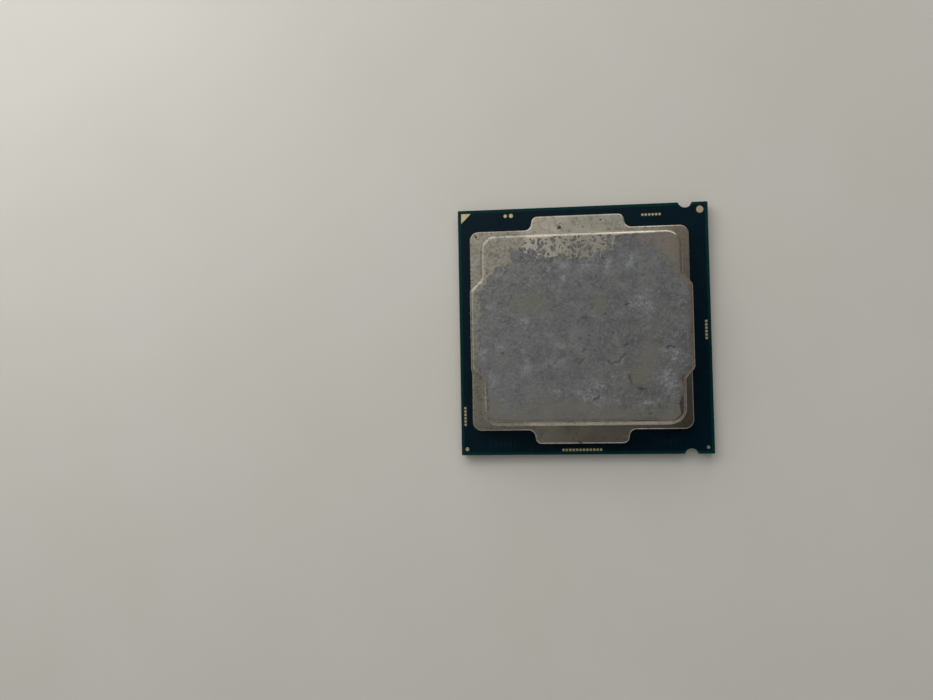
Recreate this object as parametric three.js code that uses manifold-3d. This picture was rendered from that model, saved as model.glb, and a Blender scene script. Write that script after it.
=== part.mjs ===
// A desktop computer processor in a land grid package: an organic substrate with gold lands and
// capacitors underneath, and a silicon die on top under a nickel-plated copper heat spreader.
// Millimetres. +Z points from the lands to the heat spreader. The origin is at the centre of the
// substrate, on the surface that the capacitors stand on. The pin-one triangle is at -X +Y.
import * as THREE from "three";
import { mergeVertices } from "three/addons/utils/BufferGeometryUtils.js";
import Module from "manifold-3d";

const wasm = await Module();
wasm.setup();

// ---------- driving dimensions ----------

// substrate: a square laminate with two half-round keying notches
const SUBSTRATE_SIDE = 37.5;
const CORE_THICKNESS = 0.5;
const BUILDUP_THICKNESS = 0.12;
const MASK_THICKNESS = 0.03;
const NOTCH_X = 15.45;
const NOTCH_RADIUS = 1.05;
const NOTCH_DEPTH = 0.8;

// gold lands on the underside: a square grid with a bare window in the middle
const LAND_PITCH = 0.9144;
const LAND_GRID = 40;
const COLUMNS_WEST_OF_WINDOW = 12;
const WINDOW_COLUMNS = 17;
const WINDOW_ROWS = 24;
const WINDOW_RECESS_COLUMNS = 9;
const LAND_LENGTH = 0.74;
const LAND_THICKNESS = 0.02;
const LAND_CORNER_CHAMFER = 2.6;
const LAND_NOTCH_CLEARANCE = 0.65;
const MASK_CLEARANCE = 0.08;

// capacitors in the window: [length along X, width along Y, height below the solder joint]
const LARGE_CAPACITOR = [1.6, 0.8, 0.5];
const SMALL_CAPACITOR = [1.0, 0.5, 0.38];
const SOLDER_JOINT = 0.05;
const SOLDER_TOE = 0.16;
const SOLDER_CLIMB = 0.6;
const SOLDER_WIDTH = 0.9;
const SOLDER_OVERLAP = 0.05;
const TERMINAL_SHARE = 0.22;
const TERMINAL_PROUD = 0.015;
const LARGE_COLUMNS = [-3.1, 0, 3.1];
const LARGE_ROWS = 8;
const LARGE_ROW_PITCH = 1.75;
const SMALL_COLUMNS = [-5.7, 5.7];
const SMALL_ROWS = 3;
const SMALL_ROW_PITCH = 4.4;

// gold pads on the upper face
const PAD_THICKNESS = 0.02;
const PIN_ONE_CORNER = [-18.25, 18.25];
const PIN_ONE_LEG = 1.5;
const FIDUCIAL = { x: 17.6, y: 17.6, diameter: 1.04 };
const SOUTHWEST_PAD = { x: -17.9, y: -17.85, diameter: 0.56 };
const SOUTHEAST_PAD = { x: 17.85, y: -17.8, diameter: 0.45 };
const PROBE_PAD_WEST = { x: -11.45, y: 17.7, diameter: 0.52 };
const PROBE_PAD_EAST = { x: -10.58, y: 17.7, diameter: 0.62 };
const ROW_PAD_DIAMETER = 0.36;
const ROW_PAD_PITCH = 0.508;
const ROW_STRIP_WIDTH = 0.12;
const ROW_STRIP_THICKNESS = 0.008;
const PAD_ROWS = [
  { name: "test_pad_row_north", x: 10.45, y: 17.1, count: 6, upright: false },
  { name: "test_pad_row_east", x: 18.05, y: -0.42, count: 6, upright: true },
  { name: "test_pad_row_west", x: -18.1, y: -12.87, count: 6, upright: true },
  { name: "test_pad_row_south", x: -0.59, y: -18.05, count: 12, upright: false },
];

// heat spreader: a flange with a clamp tab on two sides, and a raised plateau
const LID_CENTRE = [-0.63, 0.08];
const LID_HALF_X = 16.25;
const LID_HALF_Y = 15.07;
const LID_CORNER = 1.35;
const TAB_REACH_Y = 17.08;
const TAB_HALF_TOP = 6.75;
const TAB_HALF_ROOT = 7.15;
const TAB_FILLET = 0.95;
const FLANGE_THICKNESS = 1.33;
const FLANGE_EDGE = 0.12;
// the raised plateau and its bulges out to the lid's sides; their rims are rounded over, wider than deep
const PLATEAU_SHIFT = [0.15, -0.06];
const PLATEAU_HALF_X = 14.8;
const PLATEAU_HALF_Y = 14.25;
const PLATEAU_DRAFT = 0.1;
const PLATEAU_RIM = 0.62;
const BULGE_DRAFT = 0.08;
const BULGE_RIM = 0.5;
const RIM_DROP = 0.36;
const PLATEAU_CORNER = 2.4;
const SHOULDER_INNER_Y = 7.7;
const SHOULDER_OUTER_Y = 6.1;
const SHOULDER_FILLET = 0.9;
const SHOULDER_RUN_OUT = 2;
const LID_HEIGHT = 3.48;
const CAVITY_HALF_X = 12.6;
const CAVITY_HALF_Y = 12.0;
const CAVITY_CORNER = 1.8;
const CAVITY_DEPTH = 0.63;

// sealant bead between the lid and the substrate
const SEALANT_THICKNESS = 0.12;
const SEALANT_INSET = 0.35;
const SEALANT_WIDTH = 2.1;
const VENT_WIDTH = 2.6;

// die and the layers round it
const DIE = [9.2, 13.3, 0.62];
const BUMP_HEIGHT = 0.07;
const BUMP_MARGIN = 0.15;
const UNDERFILL_CLEARANCE = 0.02;
const DIE_THERMAL_OVERHANG = 0.35;
// underfill fillet, from the substrate up: how far it reaches past the die, and how high it is there
const UNDERFILL_PROFILE = [
  { reach: 0.9, height: 0 },
  { reach: 0.3, height: 0.27 },
  { reach: 0.06, height: 0.47 },
];

// thermal paste left on the plateau, wiped off one corner: [x, y, corner radius] from the lid's centre
const PASTE_THICKNESS = 0.05;
const PASTE_INSET = 0.15;
const WIPED_CORNER = [
  [-20, 6.6, 0],
  [-13.4, 8.2, 1.2],
  [-10.2, 9.8, 1.2],
  [-8.2, 12.4, 1.2],
  [-8, 20, 0],
  [-20, 20, 0],
];

const ARC_STEPS = 6;
const DISC_SIDES = 16;

// ---------- heights, from the surface that the part stands on ----------

const LAND_PLANE = LARGE_CAPACITOR[2] + SOLDER_JOINT;
const LOWER_BUILDUP = LAND_PLANE + MASK_THICKNESS;
const CORE = LOWER_BUILDUP + BUILDUP_THICKNESS;
const UPPER_BUILDUP = CORE + CORE_THICKNESS;
const UPPER_MASK = UPPER_BUILDUP + BUILDUP_THICKNESS;
const SUBSTRATE_TOP = UPPER_MASK + MASK_THICKNESS;
const LID_BOTTOM = SUBSTRATE_TOP + SEALANT_THICKNESS;
const FLANGE_TOP = LID_BOTTOM + FLANGE_THICKNESS;
const LID_TOP = LID_BOTTOM + LID_HEIGHT;
const CAVITY_CEILING = LID_BOTTOM + CAVITY_DEPTH;
const DIE_BOTTOM = SUBSTRATE_TOP + BUMP_HEIGHT;
const DIE_TOP = DIE_BOTTOM + DIE[2];

// ---------- materials ----------

const material = (color, roughness, metalness) =>
  new THREE.MeshStandardMaterial({ color, roughness, metalness });
const LAMINATE = material(0x8a7a4e, 0.7, 0);
const BUILDUP = material(0x3f5a45, 0.6, 0);
const SOLDER_MASK = material(0x10242c, 0.35, 0);
const GOLD = material(0xd9b765, 0.3, 1);
const NICKEL = material(0xa29c90, 0.35, 1);
const SEALANT = material(0x17171a, 0.6, 0);
const SILICON = material(0x4a4d55, 0.2, 0.6);
const UNDERFILL = material(0x2a2620, 0.4, 0);
const SOLDER = material(0xb9bcc0, 0.35, 1);
const DIE_PASTE = material(0x9aa0a6, 0.6, 0.2);
const PASTE = material(0x8b8d8d, 0.7, 0);
const CERAMIC = material(0x9a7a5c, 0.5, 0);

// ---------- outlines ----------

// Outline of straight edges with rounded corners, from [x, y, radius] corners in order.
function roundedOutline(corners, steps = ARC_STEPS) {
  return corners.flatMap(([x, y, radius], i) => {
    const corner = new THREE.Vector2(x, y);
    if (!radius) return [corner];
    const [beforeX, beforeY] = corners.at(i - 1);
    const [afterX, afterY] = corners[(i + 1) % corners.length];
    const before = new THREE.Vector2(beforeX, beforeY).sub(corner).normalize();
    const after = new THREE.Vector2(afterX, afterY).sub(corner).normalize();
    const halfAngle = Math.acos(THREE.MathUtils.clamp(before.dot(after), -1, 1)) / 2;
    const start = before.clone().multiplyScalar(radius / Math.tan(halfAngle)).add(corner);
    const centre = before.clone().add(after).normalize();
    centre.multiplyScalar(radius / Math.sin(halfAngle)).add(corner);
    const turn = Math.sign(after.cross(before)) * (Math.PI - 2 * halfAngle);
    return Array.from({ length: steps + 1 }, (_, k) =>
      start.clone().rotateAround(centre, (turn * k) / steps),
    );
  });
}

function rectangle(halfX, halfY, radius = 0) {
  return roundedOutline([
    [halfX, -halfY, radius],
    [halfX, halfY, radius],
    [-halfX, halfY, radius],
    [-halfX, -halfY, radius],
  ]);
}

function disc(x, y, diameter, sides = DISC_SIDES) {
  return Array.from({ length: sides }, (_, k) => {
    const angle = (2 * Math.PI * k) / sides;
    return new THREE.Vector2(x + (diameter / 2) * Math.cos(angle), y + (diameter / 2) * Math.sin(angle));
  });
}

function triangle(grow = 0) {
  const [x, y] = PIN_ONE_CORNER;
  const far = PIN_ONE_LEG + grow * (1 + Math.SQRT2);
  return [
    new THREE.Vector2(x - grow, y + grow),
    new THREE.Vector2(x - grow, y - far),
    new THREE.Vector2(x + far, y + grow),
  ];
}

// Window round a row of pads, with round ends.
function rowWindow({ x, y, count, upright }) {
  const halfLength = ((count - 1) * ROW_PAD_PITCH + ROW_PAD_DIAMETER) / 2 + MASK_CLEARANCE;
  const halfWidth = ROW_PAD_DIAMETER / 2 + MASK_CLEARANCE;
  const [halfX, halfY] = upright ? [halfWidth, halfLength] : [halfLength, halfWidth];
  return rectangle(halfX, halfY, halfWidth * 0.98).map((p) => p.add(new THREE.Vector2(x, y)));
}

// The lid's outer outline, drawn in by inset all round.
function flangeOutline(inset = 0) {
  const halfX = LID_HALF_X - inset;
  const halfY = LID_HALF_Y - inset;
  const tabY = TAB_REACH_Y - inset;
  const corner = LID_CORNER - inset;
  const top = TAB_HALF_TOP - inset;
  const root = TAB_HALF_ROOT - inset;
  const convex = TAB_FILLET - inset;
  const concave = TAB_FILLET + inset;
  const upper = [
    [halfX, halfY, corner],
    [root, halfY, concave],
    [top, tabY, convex],
    [-top, tabY, convex],
    [-root, halfY, concave],
    [-halfX, halfY, corner],
  ];
  return roundedOutline([...upper, ...upper.map(([x, y, radius]) => [-x, -y, radius])]);
}

// The plateau's outline, drawn in by inset; its shoulders run out past the lid's sides.
function plateauOutline(inset = 0) {
  const halfX = PLATEAU_HALF_X - inset;
  const halfY = PLATEAU_HALF_Y - inset;
  const wide = LID_HALF_X + SHOULDER_RUN_OUT;
  const inner = SHOULDER_INNER_Y - inset / 2;
  const outer = SHOULDER_OUTER_Y - inset / 2;
  const past = outer - (inner - outer) * 0.35;
  const corner = PLATEAU_CORNER - inset;
  const right = [
    [wide, -past, 0],
    [wide, past, 0],
    [LID_HALF_X, outer, SHOULDER_FILLET],
    [halfX, inner, SHOULDER_FILLET],
    [halfX, halfY, corner],
  ];
  const left = right.map(([x, y, radius]) => [-x, -y, radius]);
  const lowerRight = right.slice(2).reverse().map(([x, y, radius]) => [x, -y, radius]);
  const upperLeft = lowerRight.map(([x, y, radius]) => [-x, -y, radius]);
  return roundedOutline([...right, ...upperLeft, ...left, ...lowerRight]);
}

// ---------- solids ----------

function extrude(outline, bottom, top, holes = []) {
  const shape = new THREE.Shape(outline);
  shape.holes = holes.map((hole) => new THREE.Path(hole));
  const geometry = new THREE.ExtrudeGeometry(shape, { depth: top - bottom, bevelEnabled: false });
  return geometry.translate(0, 0, bottom);
}

// Closed skin through outlines of the same number of points, each { outline, z }, from the lowest up.
function loft(levels) {
  const count = levels[0].outline.length;
  const position = levels.flatMap(({ outline, z }) => outline.flatMap((p) => [p.x, p.y, z]));
  const index = [];
  for (let level = 0; level + 1 < levels.length; level++) {
    for (let k = 0; k < count; k++) {
      const a = level * count + k;
      const b = level * count + ((k + 1) % count);
      index.push(a, b, b + count, a, b + count, a + count);
    }
  }
  const last = (levels.length - 1) * count;
  for (const [a, b, c] of THREE.ShapeUtils.triangulateShape(levels[0].outline, [])) index.push(c, b, a);
  for (const [a, b, c] of THREE.ShapeUtils.triangulateShape(levels.at(-1).outline, [])) {
    index.push(a + last, b + last, c + last);
  }
  const geometry = new THREE.BufferGeometry();
  geometry.setAttribute("position", new THREE.Float32BufferAttribute(position, 3));
  return geometry.setIndex(index);
}

function box(lengthX, lengthY, bottom, top, x = 0, y = 0) {
  const geometry = new THREE.BoxGeometry(lengthX, lengthY, top - bottom);
  return geometry.translate(x, y, (bottom + top) / 2);
}

function solidOf(geometry) {
  const bare = new THREE.BufferGeometry();
  bare.setAttribute("position", geometry.getAttribute("position"));
  bare.setIndex(geometry.index);
  const merged = mergeVertices(bare, 1e-4);
  const mesh = new wasm.Mesh({
    numProp: 3,
    vertProperties: merged.getAttribute("position").array,
    triVerts: new Uint32Array(merged.index.array),
  });
  return new wasm.Manifold(mesh);
}

function geometryOf(solid) {
  const { vertProperties, triVerts } = solid.getMesh();
  const geometry = new THREE.BufferGeometry();
  geometry.setAttribute("position", new THREE.BufferAttribute(vertProperties, 3));
  geometry.setIndex(new THREE.BufferAttribute(triVerts, 1));
  geometry.computeVertexNormals();
  return geometry;
}

const join = (first, ...others) =>
  geometryOf(others.reduce((solid, other) => solid.add(solidOf(other)), solidOf(first)));
const cut = (first, ...others) =>
  geometryOf(others.reduce((solid, other) => solid.subtract(solidOf(other)), solidOf(first)));
const common = (first, second) => geometryOf(solidOf(first).intersect(solidOf(second)));

// ---------- substrate ----------

const substrate = new THREE.Group();
const add = (group, name, geometry, skin) => {
  const mesh = new THREE.Mesh(geometry, skin);
  mesh.name = name;
  group.add(mesh);
};

// Square with a round-bottomed notch on the +Y and -Y sides.
function substrateOutline() {
  const half = SUBSTRATE_SIDE / 2;
  const centreY = half + NOTCH_RADIUS - NOTCH_DEPTH;
  const reach = Math.asin((centreY - half) / NOTCH_RADIUS);
  const steps = 2 * ARC_STEPS;
  const northNotch = Array.from({ length: steps + 1 }, (_, k) => {
    const angle = -reach - ((Math.PI - 2 * reach) * k) / steps;
    return new THREE.Vector2(NOTCH_X, centreY).add(
      new THREE.Vector2(Math.cos(angle), Math.sin(angle)).multiplyScalar(NOTCH_RADIUS),
    );
  });
  const southNotch = northNotch.map((p) => new THREE.Vector2(p.x, -p.y)).reverse();
  return [
    new THREE.Vector2(half, half),
    ...northNotch,
    new THREE.Vector2(-half, half),
    new THREE.Vector2(-half, -half),
    ...southNotch,
    new THREE.Vector2(half, -half),
  ];
}

const roundPads = [
  { name: "corner_fiducial", ...FIDUCIAL },
  { name: "corner_pad_southwest", ...SOUTHWEST_PAD },
  { name: "corner_pad_southeast", ...SOUTHEAST_PAD },
  { name: "probe_pad_west", ...PROBE_PAD_WEST },
  { name: "probe_pad_east", ...PROBE_PAD_EAST },
];
const maskOpenings = [
  triangle(MASK_CLEARANCE),
  ...roundPads.map(({ x, y, diameter }) => disc(x, y, diameter + 2 * MASK_CLEARANCE)),
  ...PAD_ROWS.map(rowWindow),
];

const outline = substrateOutline();
add(substrate, "substrate_core", extrude(outline, CORE, UPPER_BUILDUP), LAMINATE);
add(substrate, "lower_buildup_layer", extrude(outline, LOWER_BUILDUP, CORE), BUILDUP);
add(substrate, "upper_buildup_layer", extrude(outline, UPPER_BUILDUP, UPPER_MASK), BUILDUP);
const upperMask = extrude(outline, UPPER_MASK, SUBSTRATE_TOP, maskOpenings);
add(substrate, "upper_solder_mask", upperMask, SOLDER_MASK);

// ---------- lands, joined into four fields ----------

const fieldGap = (LAND_PITCH - LAND_LENGTH) / 2;
const gridHalf = (LAND_GRID * LAND_PITCH) / 2 - fieldGap;
const windowHalfY = (WINDOW_ROWS * LAND_PITCH) / 2;
const windowWest = (COLUMNS_WEST_OF_WINDOW - LAND_GRID / 2) * LAND_PITCH;
const windowEast = windowWest + WINDOW_COLUMNS * LAND_PITCH;

function landField({ x0, x1, y0, y1 }, grow, bottom, top) {
  const [low, high] = [bottom - 1, top + 1];
  const plate = box(x1 - x0 + 2 * grow, y1 - y0 + 2 * grow, bottom, top, (x0 + x1) / 2, (y0 + y1) / 2);
  const chamfer = (LAND_CORNER_CHAMFER - grow) * Math.SQRT2;
  const notchGap = 2 * (NOTCH_RADIUS + LAND_NOTCH_CLEARANCE - grow);
  const recess = WINDOW_RECESS_COLUMNS * LAND_PITCH + 2 * (fieldGap - grow);
  const recessY = windowHalfY + LAND_PITCH / 2 + fieldGap - grow;
  const cutters = [box(recess, LAND_PITCH, low, high, (windowWest + windowEast) / 2, recessY)];
  for (const side of [-1, 1]) {
    cutters.push(extrude(disc(NOTCH_X, (side * SUBSTRATE_SIDE) / 2, notchGap), low, high));
    for (const end of [-1, 1]) {
      const corner = box(chamfer, chamfer, low, high).rotateZ(Math.PI / 4);
      cutters.push(corner.translate(end * gridHalf, side * gridHalf, 0));
    }
  }
  return cut(plate, ...cutters);
}

const landFields = [
  { name: "land_field_west", x0: -gridHalf, x1: windowWest - fieldGap, y0: -gridHalf, y1: gridHalf },
  { name: "land_field_east", x0: windowEast + fieldGap, x1: gridHalf, y0: -gridHalf, y1: gridHalf },
  {
    name: "land_field_north",
    x0: windowWest + fieldGap,
    x1: windowEast - fieldGap,
    y0: windowHalfY + fieldGap,
    y1: gridHalf,
  },
  {
    name: "land_field_south",
    x0: windowWest + fieldGap,
    x1: windowEast - fieldGap,
    y0: -gridHalf,
    y1: -windowHalfY - fieldGap,
  },
];
for (const field of landFields) {
  add(substrate, field.name, landField(field, 0, LOWER_BUILDUP - LAND_THICKNESS, LOWER_BUILDUP), GOLD);
}
const fieldOpenings = landFields.map((field) =>
  landField(field, fieldGap / 2, LAND_PLANE - 1, LOWER_BUILDUP + 1),
);
add(
  substrate,
  "lower_solder_mask",
  cut(extrude(outline, LAND_PLANE, LOWER_BUILDUP), ...fieldOpenings),
  SOLDER_MASK,
);

// ---------- gold pads on the upper face ----------

const padTop = UPPER_MASK + PAD_THICKNESS;
add(substrate, "pin_one_triangle", extrude(triangle(), UPPER_MASK, padTop), GOLD);
for (const { name, x, y, diameter } of roundPads) {
  add(substrate, name, extrude(disc(x, y, diameter), UPPER_MASK, padTop), GOLD);
}
for (const { name, x, y, count, upright } of PAD_ROWS) {
  const length = (count - 1) * ROW_PAD_PITCH;
  const [stripX, stripY] = upright ? [ROW_STRIP_WIDTH, length] : [length, ROW_STRIP_WIDTH];
  const strip = box(stripX, stripY, UPPER_MASK, UPPER_MASK + ROW_STRIP_THICKNESS, x, y);
  const pads = Array.from({ length: count }, (_, k) => {
    const along = k * ROW_PAD_PITCH - length / 2;
    const [padX, padY] = upright ? [x, y + along] : [x + along, y];
    return extrude(disc(padX, padY, ROW_PAD_DIAMETER), UPPER_MASK, padTop);
  });
  add(substrate, name, join(strip, ...pads), GOLD);
}

// ---------- capacitors under the window ----------

// Body between two terminals, each standing on a wedge of solder. z = 0 is the solder's foot.
function capacitor([length, width, height]) {
  const terminal = length * TERMINAL_SHARE;
  const body = box(length - terminal, width, -SOLDER_JOINT - height + TERMINAL_PROUD, -SOLDER_JOINT);
  const ends = [-1, 1].flatMap((side) => {
    const x = side * (length / 2 - terminal / 2);
    const end = box(terminal, width + 2 * TERMINAL_PROUD, -SOLDER_JOINT - height, 0, x, 0);
    const toe = side * (length / 2);
    const wedge = new THREE.Shape([
      new THREE.Vector2(toe - side * SOLDER_OVERLAP, 0),
      new THREE.Vector2(toe + side * SOLDER_TOE, 0),
      new THREE.Vector2(toe - side * SOLDER_OVERLAP, -SOLDER_JOINT - height * SOLDER_CLIMB),
    ]);
    const depth = width * SOLDER_WIDTH;
    const solder = new THREE.ExtrudeGeometry(wedge, { depth, bevelEnabled: false });
    return [end, solder.rotateX(Math.PI / 2).translate(0, depth / 2, 0)];
  });
  return join(body, ...ends);
}

const capacitors = new THREE.Group();
capacitors.position.z = LAND_PLANE;
function addCapacitors(prefix, size, columns, rows, rowPitch) {
  const shape = capacitor(size);
  columns.forEach((x, column) => {
    for (let row = 0; row < rows; row++) {
      const number = String(column * rows + row + 1).padStart(2, "0");
      add(capacitors, `${prefix}_${number}`, shape, CERAMIC);
      capacitors.children.at(-1).position.set(x, (row - (rows - 1) / 2) * rowPitch, 0);
    }
  });
}
addCapacitors("decoupling_capacitor", LARGE_CAPACITOR, LARGE_COLUMNS, LARGE_ROWS, LARGE_ROW_PITCH);
addCapacitors("filter_capacitor", SMALL_CAPACITOR, SMALL_COLUMNS, SMALL_ROWS, SMALL_ROW_PITCH);

// ---------- die and its layers ----------

const dieGroup = new THREE.Group();
const [dieX, dieY] = DIE;
add(
  dieGroup,
  "solder_bump_layer",
  box(dieX - 2 * BUMP_MARGIN, dieY - 2 * BUMP_MARGIN, SUBSTRATE_TOP, DIE_BOTTOM),
  SOLDER,
);
add(dieGroup, "silicon_die", box(dieX, dieY, DIE_BOTTOM, DIE_TOP), SILICON);
add(
  dieGroup,
  "die_thermal_layer",
  box(dieX + 2 * DIE_THERMAL_OVERHANG, dieY + 2 * DIE_THERMAL_OVERHANG, DIE_TOP, CAVITY_CEILING),
  DIE_PASTE,
);
const fillet = loft(
  UNDERFILL_PROFILE.map(({ reach, height }) => ({
    outline: rectangle(dieX / 2 + reach, dieY / 2 + reach, reach * 0.98),
    z: SUBSTRATE_TOP + height,
  })),
);
const clearance = 2 * UNDERFILL_CLEARANCE;
const dieSpace = box(dieX + clearance, dieY + clearance, SUBSTRATE_TOP - 1, DIE_TOP + 1);
add(dieGroup, "die_underfill", cut(fillet, dieSpace), UNDERFILL);

// ---------- lid, sealant and paste ----------

const lid = new THREE.Group();
lid.position.set(LID_CENTRE[0], LID_CENTRE[1], 0);

const flange = loft([
  { outline: flangeOutline(), z: LID_BOTTOM },
  { outline: flangeOutline(), z: FLANGE_TOP - FLANGE_EDGE },
  { outline: flangeOutline(FLANGE_EDGE), z: FLANGE_TOP },
]);
// Levels of a rim rounded over in quarter-turn steps; outlineAt gives the outline for an inset.
const rounding = (outlineAt, inset, width) =>
  [0, 1, 2, 3].map((step) => {
    const angle = (step * Math.PI) / 6;
    return {
      outline: outlineAt(inset + width * (1 - Math.cos(angle))),
      z: LID_TOP - RIM_DROP * (1 - Math.sin(angle)),
    };
  });
const shifted = (geometry) => geometry.translate(PLATEAU_SHIFT[0], PLATEAU_SHIFT[1], 0);
const bulgeOutline = (inset) => rectangle(LID_HALF_X - inset, LID_HALF_Y);
const plateau = shifted(
  loft([
    { outline: plateauOutline(0), z: FLANGE_TOP - FLANGE_EDGE },
    { outline: plateauOutline(0), z: FLANGE_TOP },
    ...rounding(plateauOutline, PLATEAU_DRAFT, PLATEAU_RIM),
  ]),
);
const bulge = loft([
  { outline: bulgeOutline(0), z: LID_BOTTOM },
  { outline: bulgeOutline(0), z: FLANGE_TOP },
  ...rounding(bulgeOutline, BULGE_DRAFT, BULGE_RIM),
]);
const cavityOutline = rectangle(CAVITY_HALF_X, CAVITY_HALF_Y, CAVITY_CORNER);
const cavity = extrude(cavityOutline, LID_BOTTOM - 1, CAVITY_CEILING);
add(lid, "heat_spreader", cut(join(flange, common(plateau, bulge)), cavity), NICKEL);

const beadHalfX = LID_HALF_X - SEALANT_INSET;
const beadHalfY = LID_HALF_Y - SEALANT_INSET;
const bead = extrude(rectangle(beadHalfX, beadHalfY, LID_CORNER), SUBSTRATE_TOP, LID_BOTTOM, [
  rectangle(beadHalfX - SEALANT_WIDTH, beadHalfY - SEALANT_WIDTH, 1),
]);
const vent = box(3 * SEALANT_WIDTH, VENT_WIDTH, SUBSTRATE_TOP - 1, LID_BOTTOM + 1, beadHalfX, 0);
add(lid, "lid_sealant", cut(bead, vent), SEALANT);

const pasteTop = LID_TOP + PASTE_THICKNESS;
const pasteInset = PLATEAU_DRAFT + PLATEAU_RIM + PASTE_INSET;
const pasteHalfX = LID_HALF_X - BULGE_DRAFT - BULGE_RIM - PASTE_INSET;
const spread = common(
  shifted(extrude(plateauOutline(pasteInset), LID_TOP, pasteTop)),
  box(2 * pasteHalfX, 2 * LID_HALF_Y, LID_TOP - 1, pasteTop + 1),
);
const wiped = extrude(roundedOutline(WIPED_CORNER).reverse(), LID_TOP - 1, pasteTop + 1);
add(lid, "thermal_paste_residue", cut(spread, wiped), PASTE);

// ---------- whole part ----------

const processor = new THREE.Group();
processor.name = "processor";
processor.add(substrate, capacitors, dieGroup, lid);

export default processor;
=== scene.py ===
# A desktop computer processor lying on a pale table, seen from above.
# Lengths are in millimetres, in the frame of the CAD model, and meshes are scaled to metres when made.
import math

import bmesh
import bpy
import numpy as np
from mathutils import Matrix, Vector, noise
from mathutils.geometry import delaunay_2d_cdt


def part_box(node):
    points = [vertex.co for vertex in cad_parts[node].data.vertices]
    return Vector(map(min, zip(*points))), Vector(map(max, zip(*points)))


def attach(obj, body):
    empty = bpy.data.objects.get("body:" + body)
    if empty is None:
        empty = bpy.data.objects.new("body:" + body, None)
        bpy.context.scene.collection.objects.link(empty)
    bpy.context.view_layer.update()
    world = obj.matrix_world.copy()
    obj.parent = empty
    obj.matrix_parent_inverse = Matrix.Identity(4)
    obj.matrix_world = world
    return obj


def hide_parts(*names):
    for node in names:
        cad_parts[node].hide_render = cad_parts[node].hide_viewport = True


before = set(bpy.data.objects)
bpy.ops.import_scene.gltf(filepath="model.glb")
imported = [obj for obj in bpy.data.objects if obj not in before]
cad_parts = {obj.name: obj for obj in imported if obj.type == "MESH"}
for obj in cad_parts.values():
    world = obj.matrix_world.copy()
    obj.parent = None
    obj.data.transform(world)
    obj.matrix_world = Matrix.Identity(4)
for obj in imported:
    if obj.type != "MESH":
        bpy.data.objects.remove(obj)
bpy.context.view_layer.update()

MM = 0.001
ARC_STEPS = 12
SHARP_ANGLE = math.radians(35)


def node_box(node):
    low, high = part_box(node)
    return low / MM, high / MM


# ---------- dimensions, from the CAD boxes and a few proportions ----------

HALF_SIDE = node_box("substrate_core")[1].x
MASK_LOW, MASK_HIGH = node_box("upper_solder_mask")
LOWER_MASK_LOW, LOWER_MASK_HIGH = node_box("lower_solder_mask")
SUBSTRATE_TOP = MASK_HIGH.z
SUBSTRATE_CORNER = 0.12
NOTCH_X = 15.45
NOTCH_RADIUS = 1.05
NOTCH_DEPTH = 0.8

LID_LOW, LID_HIGH = node_box("heat_spreader")
LID_X = (LID_LOW.x + LID_HIGH.x) / 2
LID_Y = (LID_LOW.y + LID_HIGH.y) / 2
LID_HALF_X = (LID_HIGH.x - LID_LOW.x) / 2
TAB_REACH_Y = (LID_HIGH.y - LID_LOW.y) / 2
LID_BOTTOM = LID_LOW.z
LID_TOP = LID_HIGH.z
FLANGE_TOP = LID_BOTTOM + 1.33
LID_HALF_Y = 15.07
LID_CORNER = 1.35
TAB_HALF_TOP = 6.75
TAB_HALF_ROOT = 7.15
TAB_FILLET = 0.95
FLANGE_EDGE = 0.22
PLATEAU_HALF_X = 14.8
PLATEAU_HALF_Y = 14.25
PLATEAU_CORNER = 2.4
PLATEAU_SHIFT = (0.15, -0.06)
PLATEAU_DRAFT = 0.1
PLATEAU_RIM = 0.62
RIM_DROP = 0.36
FOOT_FILLET = 0.12
BULGE_STEP = 0.02
BULGE_DRAFT = 0.08
BULGE_RIM = 0.5
SHOULDER_INNER_Y = 7.7
SHOULDER_OUTER_Y = 6.1
SHOULDER_FILLET = 0.9
BULGE_CORNER = 0.8
CAVITY_TOP = node_box("die_thermal_layer")[1].z
CAVITY_HALF_X = 12.6
CAVITY_HALF_Y = 12.0
CAVITY_CORNER = 1.8

LAND_PITCH = 0.9144
LAND_GRID = 40
WINDOW_COLUMNS = range(12, 29)
WINDOW_ROWS = range(8, 32)
RECESS_COLUMNS = range(15, 24)
LAND_WIDTH = 0.6
LAND_LENGTH = 0.72
LAND_CHAMFER = 0.14
LAND_GAP = 0.01


# ---------- outlines ----------

def rounded(corners, steps=ARC_STEPS):
    """Outline with rounded corners, from (x, y, radius) corners in order."""
    points = []
    for i, (x, y, radius) in enumerate(corners):
        corner = Vector((x, y))
        before = (Vector(corners[i - 1][:2]) - corner).normalized()
        after = (Vector(corners[(i + 1) % len(corners)][:2]) - corner).normalized()
        half_angle = before.angle(after) / 2
        centre = corner + (before + after).normalized() * (radius / math.sin(half_angle))
        start = corner + before * (radius / math.tan(half_angle)) - centre
        turn = math.copysign(math.pi - 2 * half_angle, after.cross(before))
        for step in range(steps + 1):
            points.append(centre + Matrix.Rotation(turn * step / steps, 2) @ start)
    return points


def rectangle(half_x, half_y, radius):
    signs = ((1, -1), (1, 1), (-1, 1), (-1, -1))
    return rounded([(sx * half_x, sy * half_y, radius) for sx, sy in signs])


def moved(outline, x, y):
    return [point + Vector((x, y)) for point in outline]


def disc(x, y, radius, sides=32):
    angles = [2 * math.pi * k / sides for k in range(sides)]
    return [Vector((x + radius * math.cos(a), y + radius * math.sin(a))) for a in angles]


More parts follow.
